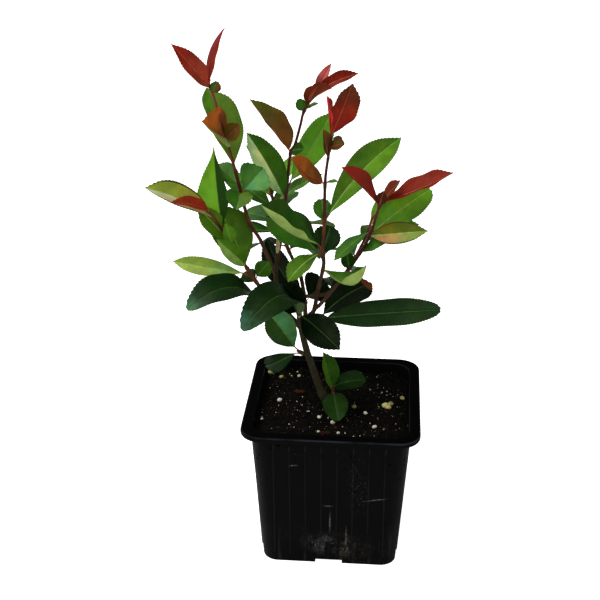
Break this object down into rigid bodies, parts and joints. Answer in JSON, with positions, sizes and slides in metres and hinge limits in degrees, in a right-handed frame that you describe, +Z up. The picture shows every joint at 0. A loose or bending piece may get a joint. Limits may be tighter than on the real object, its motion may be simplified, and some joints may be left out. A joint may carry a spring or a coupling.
{
  "type": "potted photinia plant",
  "caption": "Young evergreen photinia shrub with red new growth on slender branching stems, growing in a small square black plastic nursery pot filled with compost.",
  "frame": {"origin": "centre of the pot's flat underside, where it stands on the ground", "axes": "+Z up, the pot's front face toward -Y, +X to the right seen from the front"},
  "size_m": [0.1428, 0.1119, 0.2721],
  "materials": {
    "plastic": "near-black recycled plastic, satin, with pale dust low on the front",
    "compost": "moist, black-brown, loose, with bark chips and white perlite",
    "bark": "matt grey-brown young bark, red-brown on the bough tips",
    "young": "satin young leaf, red to bronze",
    "grown": "satin grown leaf, bright to mid green",
    "old": "glossy old leaf, very dark green"
  },
  "bodies": {
    "root": {"pot": "plastic", "compost": "compost", "trunk": "bark", "bough_left": "bark", "bough_right": "bark", "bough_back": "bark", "shoot_left": "young", "shoot_middle": "grown", "shoot_centre": "grown", "shoot_right": "grown", "shoot_low_left": "grown", "shoot_back_left": "old", "shoot_back_right": "old", "spray_left": "old", "spray_front": "old", "spray_trunk": "old", "spray_right": "old", "spray_back": "old", "sprout_foot": "grown"}
  },
  "joints": []
}
